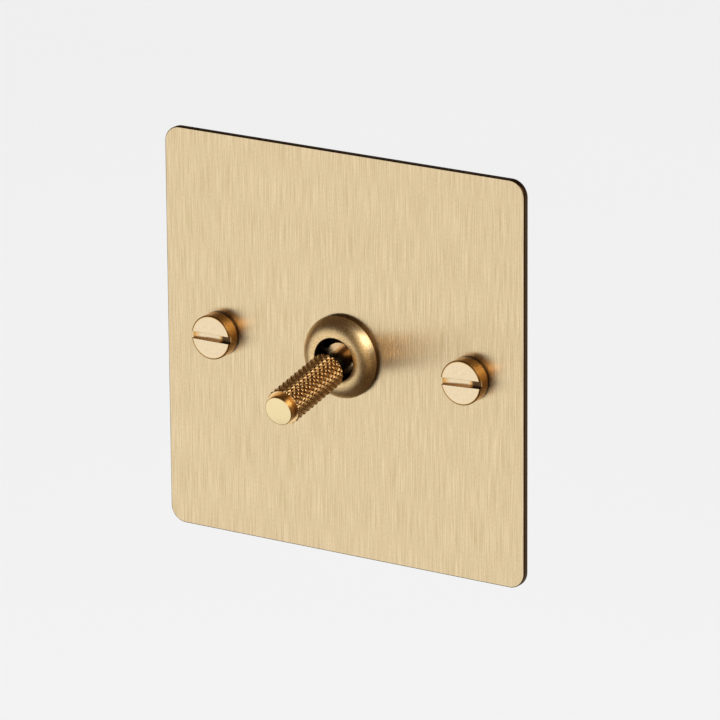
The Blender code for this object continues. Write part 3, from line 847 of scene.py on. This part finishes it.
def make_threaded_bush():
    low, high, flange_r = extent("threaded_bush", Vector(), OUT_OF_WALL)
    flange_front = -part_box("switch_frame")[0].y - FRAME_THICK
    flange = rounded(
        [
            (BUSH_R, flange_front, 0),
            (flange_r, flange_front, SMALL_EDGE),
            (flange_r, low, SMALL_EDGE),
            (BUSH_BORE_R, low, 0),
        ]
    )
    section = [Vector((BUSH_BORE_R, high)), Vector((BUSH_R - BUSH_LEAD, high))]
    section += climb(BUSH_R, high - BUSH_LEAD, flange_front, BUSH_PITCH / THREAD_STEPS)
    section += flange[1:]
    wave = threading(BUSH_R, flange_front, high, BUSH_PITCH, BUSH_THREAD_DEPTH)
    mesh = turned("threaded_bush", section, steps=96, ring=True, wave=wave)
    bore = BUSH_BORE_R + WELD
    # the bore is painted almost black, as painted shade inside the hole
    add_patina_and_painted_shade(mesh, lambda point: 1.0 if math.hypot(point.x, point.y) < bore else 0.0)
    piece("threaded_bush", mesh, facing(OUT_OF_WALL, Vector()), sharp=40)


def make_lock_washer():
    """An external-tooth washer."""
    low, high, outer = extent("lock_washer", Vector(), OUT_OF_WALL)

    def teeth(angle, radius, height):
        if radius < outer:
            return radius
        gap = 0.5 + 0.5 * math.cos(WASHER_TEETH * angle)
        cut = min(1.0, max(0.0, WASHER_TOOTH_SLOPE * gap - WASHER_TOOTH_CREST))
        return outer - WASHER_TOOTH_DEPTH * cut

    section = [Vector(p) for p in ((BUSH_R, high), (outer, high), (outer, low), (BUSH_R, low))]
    steps = WASHER_TEETH * WASHER_TOOTH_STEPS
    mesh = turned("lock_washer", section, steps, ring=True, wave=teeth)
    piece("lock_washer", mesh, facing(OUT_OF_WALL, Vector()))


def make_bush_nut():
    """A hexagon nut whose corners are chamfered on both faces."""
    low, high, corner_r = extent("bush_nut", Vector(), OUT_OF_WALL)
    box_low, box_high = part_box("bush_nut")
    first_corner = 0 if box_high.x > box_high.z else 30
    sixth = math.radians(60)
    flat_r = corner_r * math.cos(sixth / 2)

    def hexagon(angle):
        return flat_r / math.cos((angle - math.radians(first_corner)) % sixth - sixth / 2)

    def drop(angle):
        return max(0.0, hexagon(angle) - NUT_FACE_R) * math.tan(math.radians(NUT_CHAMFER_ANGLE))

    rings = [
        lambda a: (BUSH_R, high - NUT_HOLE_CHAMFER),
        lambda a: (BUSH_R + NUT_HOLE_CHAMFER, high),
        lambda a: (min(NUT_FACE_R, hexagon(a)), high),
        lambda a: (hexagon(a), high - drop(a)),
        lambda a: (hexagon(a), low + drop(a)),
        lambda a: (min(NUT_FACE_R, hexagon(a)), low),
        lambda a: (BUSH_R + NUT_HOLE_CHAMFER, low),
        lambda a: (BUSH_R, low + NUT_HOLE_CHAMFER),
    ]
    angles = [math.radians(360 / NUT_STEPS * k) for k in range(NUT_STEPS)]
    rows = []
    for ring in rings:
        spots = [(angle, *ring(angle)) for angle in angles]
        rows.append([(r * math.cos(a), r * math.sin(a), h) for a, r, h in spots])
    piece("bush_nut", skin("bush_nut", rows, ring=True), facing(OUT_OF_WALL, Vector()), sharp=25)


# ---- toggle ----


def make_toggle_lever():
    """The rod with its pivot ball, neck and bored tail."""
    tail_end, rod_end, _ = extent("toggle_lever", PIVOT, LEVER_AXIS)
    neck_end, grip_end, _ = extent("knurled_grip", PIVOT, LEVER_AXIS)
    flat_edge = math.degrees(math.asin(BALL_FLAT / BALL_R))
    tail_root = math.degrees(math.asin(TAIL_R / BALL_R))
    profile = rounded(
        [
            (0, rod_end, 0),
            (ROD_R, rod_end, SMALL_EDGE),
            (ROD_R, neck_end, 0),
            (NECK_R, neck_end, SMALL_EDGE),
            (NECK_R, BALL_FLAT, 0),
            *arc((BALL_R, BALL_R), flat_edge, tail_root - 90, steps=40),
            (TAIL_R, tail_end, SMALL_EDGE),
            (TAIL_BORE_R, tail_end, SMALL_EDGE),
            (TAIL_BORE_R, BORE_FLOOR, 0),
            (0, BORE_FLOOR, 0),
        ]
    )
    placement = facing(LEVER_AXIS, PIVOT)
    mesh = bored(turned("toggle_lever", profile), placement, PIN_R, ALONG_X, PIVOT)
    add_patina_and_painted_shade(mesh, lambda point: LEVER_PATINA)
    piece("toggle_lever", mesh, placement)


def crest(turns, rise):
    """The knurl's height, from 0 in a groove to 1 on a crest.

    The place is counted in diamonds, round the grip and along it.
    """

    def ridge(u):
        return 1 - abs(2 * (u - math.floor(u)) - 1)

    return min(ridge(turns + rise), ridge(turns - rise), KNURL_CREST) / KNURL_CREST


def make_knurled_grip():
    """Two crossing sets of helical grooves leave four-sided pyramids with flat facets."""
    start, end, radius = extent("knurled_grip", PIVOT, LEVER_AXIS)
    columns = KNURLS_ROUND * KNURL_FINE
    steps = round((end - start) / KNURL_PITCH * KNURL_FINE)
    work = bmesh.new()
    groove = work.verts.layers.float.new("groove")

    def ring(height, radius_at, groove_at):
        row = []
        for i in range(columns):
            angle, r = 2 * math.pi * i / columns, radius_at(i)
            vert = work.verts.new((r * math.cos(angle), r * math.sin(angle), height))
            vert[groove] = groove_at(i)
            row.append(vert)
        return row

    rows = []
    for j in range(steps + 1):
        height = start + (end - start) * j / steps
        lead = GRIP_LEAD - min(height - start, end - height)
        limit = radius - max(0.0, lead)
        tall = [crest(i / KNURL_FINE, j / KNURL_FINE) for i in range(columns)]
        rows.append(
            ring(
                height,
                lambda i: min(limit, radius - KNURL_DEPTH * (1 - tall[i])),
                lambda i: 1 - tall[i] if 0 < j < steps else GRIP_END_SHADE,
            )
        )
    for j, (row, following) in enumerate(zip(rows, rows[1:])):
        for i in range(columns):
            k = (i + 1) % columns
            if (i + j + 1) % (KNURL_FINE // 2) == 0:
                work.faces.new((row[i], row[k], following[i]))
                work.faces.new((row[k], following[k], following[i]))
            else:
                work.faces.new((row[i], row[k], following[k]))
                work.faces.new((row[i], following[k], following[i]))
    inner = [ring(height, lambda i: ROD_R, lambda i: GRIP_END_SHADE) for height in (end, start)]
    join_rows(work, [rows[-1], *inner, rows[0]])
    piece("knurled_grip", mesh_from("knurled_grip", work), facing(LEVER_AXIS, PIVOT), sharp=20)


def make_grip_end_cap():
    """The plain cap at the handle's end, with the stud that holds the grip on the rod."""
    stud_end, end, radius = extent("grip_end_cap", PIVOT, LEVER_AXIS)
    grip_end = extent("knurled_grip", PIVOT, LEVER_AXIS)[1]
    profile = rounded(
        [
            (0, end, 0),
            (radius, end, CAP_EDGE),
            (radius, grip_end, 0),
            (STUD_R, grip_end, 0),
            (STUD_R, stud_end, STUD_EDGE),
            (0, stud_end, 0),
        ]
    )
    mesh = turned("grip_end_cap", profile, steps=96)
    # the side is painted darker than the face, partly its finish and partly painted shade
    add_patina_and_painted_shade(mesh, lambda point: 0.0 if point.z > end - WELD else CAP_SIDE_PATINA_AND_SHADE)
    piece("grip_end_cap", mesh, facing(LEVER_AXIS, PIVOT), finish="cap_brass")


def make_plunger():
    tip, top, radius = extent("plunger", PIVOT, LEVER_AXIS)
    nose = arc((radius, radius), 0, -90, steps=10, centre=(0, tip + radius))
    profile = rounded([(0, top, 0), (radius, top, SMALL_EDGE), *nose])
    piece("plunger", turned("plunger", profile, steps=40), facing(LEVER_AXIS, PIVOT))


def make_plunger_spring():
    low, high, outer = extent("plunger_spring", PIVOT, LEVER_AXIS)
    count = SPRING_TURNS * SPRING_STEPS
    rise = (high - low - 2 * WIRE_R) / count
    ring = [2 * math.pi * i / WIRE_STEPS for i in range(WIRE_STEPS)]
    rows = []
    for k in range(count + 1):
        angle = 2 * math.pi * k / SPRING_STEPS
        out = Vector((math.cos(angle), math.sin(angle), 0))
        centre = out * (outer - WIRE_R) + UP * (low + WIRE_R + rise * k)
        rows.append([centre + (out * math.cos(a) + UP * math.sin(a)) * WIRE_R for a in ring])
    mesh = skin("plunger_spring", rows)
    spring = piece("plunger_spring", mesh, facing(LEVER_AXIS, PIVOT), sharp=60)
    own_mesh(spring)


def make_pivot_pin():
    low, high, radius = extent("pivot_pin", PIVOT, ALONG_X)
    ends = [(0, high, 0), (radius, high, SMALL_EDGE), (radius, low, SMALL_EDGE), (0, low, 0)]
    mesh = turned("pivot_pin", rounded(ends), steps=32)
    piece("pivot_pin", mesh, facing(ALONG_X, PIVOT))


# ---- mechanism behind the plate ----


def make_switch_frame():
    """The steel strap, with its two bends rounded."""
    low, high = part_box("switch_frame")
    inner = high.z - FRAME_THICK
    floor = low.y + FRAME_THICK
    upper = [
        (floor, inner, FRAME_BEND - FRAME_THICK),
        (high.y, inner, FRAME_END),
        (high.y, high.z, FRAME_END),
        (low.y, high.z, FRAME_BEND),
    ]
    lower = [(y, -z, cut) for y, z, cut in reversed(upper)]
    mesh = prism("switch_frame", rounded(upper + lower, ring=True, steps=8), high.x - low.x)
    mesh = bored(mesh, SIDEWAYS, BUSH_R, OUT_OF_WALL, Vector())
    piece("switch_frame", mesh, SIDEWAYS, bevel=SMALL_EDGE)


def make_frame_rivet(end, axis):
    """A rivet with a low domed head outside the frame's leg."""
    node = f"frame_rivet_{end}"
    centre = middle(node)
    at = Vector((0, centre.y, 0))
    root, top, radius = extent(node, at, axis)
    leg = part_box("switch_frame")[1].z
    dome = arc((radius, top - leg), 90, 0, steps=8, centre=(0, leg))
    profile = rounded([*dome, (RIVET_SHANK_R, leg, 0), (RIVET_SHANK_R, root, 0), (0, root, 0)])
    piece(node, turned(node, profile, steps=40), facing(axis, at))


# ---- studio ----


def towards(azimuth, elevation):
    """The direction from the object to a viewer at those angles. Azimuth 0 is the front."""
    a, e = math.radians(azimuth), math.radians(elevation)
    return Vector((math.sin(a) * math.cos(e), -math.cos(a) * math.cos(e), math.sin(e)))


def make_camera():
    data = bpy.data.cameras.new("camera")
    data.lens = CAMERA_LENS
    data.sensor_width = CAMERA_SENSOR
    data.clip_start, data.clip_end = CAMERA_CLIP
    camera = bpy.data.objects.new("camera", data)
    bpy.context.scene.collection.objects.link(camera)
    back = towards(CAMERA_AZIMUTH, CAMERA_ELEVATION)
    right = UP.cross(back).normalized()
    up = back.cross(right)
    roll = math.radians(CAMERA_ROLL)
    turn = Matrix((right, up, back)).transposed() @ Matrix.Rotation(roll, 3, "Z")
    camera.matrix_world = Matrix.Translation(CAMERA_TARGET + back * CAMERA_DISTANCE) @ turn.to_4x4()
    bpy.context.scene.camera = camera


def make_panel(name, azimuth, elevation, distance, size, radiance):
    """A rectangular white softbox that faces the object."""
    data = bpy.data.lights.new(name, "AREA")
    data.shape = "RECTANGLE"
    data.size, data.size_y = size
    data.energy = radiance * math.pi * size[0] * size[1]
    light = bpy.data.objects.new(name, data)
    bpy.context.scene.collection.objects.link(light)
    direction = towards(azimuth, elevation)
    turn = direction.to_track_quat("Z", "Y").to_matrix().to_4x4()
    light.matrix_world = Matrix.Translation(direction * distance) @ turn
    light.visible_camera = False


def make_floor():
    """A wide pale floor well below the switch, which hangs clear of it."""
    work = bmesh.new()
    bmesh.ops.create_grid(work, x_segments=FLOOR_CELLS, y_segments=FLOOR_CELLS, size=FLOOR_HALF)
    for vert in work.verts:
        vert.co.z = FLOOR_Z
    floor = bpy.data.objects.new("floor", mesh_from("floor", work))
    bpy.context.scene.collection.objects.link(floor)
    made, tree, shader = new_material("floor_paint")
    colour = blend(tree, spread(tree, grain(tree, FLOOR_CLOUD), 0, 1), *FLOOR_GREYS)
    tree.links.new(colour, shader.inputs["Base Color"])
    shader.inputs["Roughness"].default_value = FLOOR_ROUGHNESS
    shader.inputs["Specular IOR Level"].default_value = FLOOR_SPECULAR
    floor.data.materials.append(made)
    floor.visible_glossy = False


def make_world():
    """Pale air for the eye and for matt surfaces, and the dark room that polished metal mirrors."""
    world = bpy.data.worlds.new("studio")
    world.use_nodes = True
    world.cycles.sampling_method = "NONE"
    tree = world.node_tree
    output = tree.nodes["World Output"]
    pale = tree.nodes["Background"]
    pale.inputs["Color"].default_value = (1, 1, 1, 1)
    pale.inputs["Strength"].default_value = PALE_AIR
    direction = add(tree, "TexCoord").outputs["Generated"]
    room = ROOM_DARK
    for azimuth, elevation, inner, outer, light in ROOM_GLOWS:
        ends = {0: direction, 1: towards(azimuth, elevation)}
        toward = add(tree, "VectorMath", ends, operation="DOT_PRODUCT").outputs["Value"]
        limits = {
            "Value": toward,
            "From Min": math.cos(math.radians(outer)),
            "From Max": math.cos(math.radians(inner)),
        }
        share = add(tree, "MapRange", limits, interpolation_type="SMOOTHSTEP").outputs["Result"]
        room = blend(tree, share, room, light)
    dark = add(tree, "Background", {"Color": room, "Strength": 1.0})
    glossy = add(tree, "LightPath").outputs["Is Glossy Ray"]
    mixed = add(tree, "MixShader", {0: glossy, 1: pale.outputs[0], 2: dark.outputs[0]})
    tree.links.new(mixed.outputs[0], output.inputs["Surface"])
    bpy.context.scene.world = world


bpy.context.scene.view_settings.view_transform = "Standard"
make_camera()
make_floor()
make_world()
for panel in PANELS:
    make_panel(*panel)
make_face_plate()
for side in ("left", "right"):
    make_fixing_screw(side)
    make_screw_retainer(side)
make_bezel_ring()
make_threaded_bush()
make_lock_washer()
make_bush_nut()
make_toggle_lever()
make_knurled_grip()
make_grip_end_cap()
make_plunger()
make_plunger_spring()
make_pivot_pin()
make_switch_frame()
make_frame_rivet("upper", UP)
make_frame_rivet("lower", -UP)
for node, bevel in CAD_EDGES.items():
    refined(node, bevel)
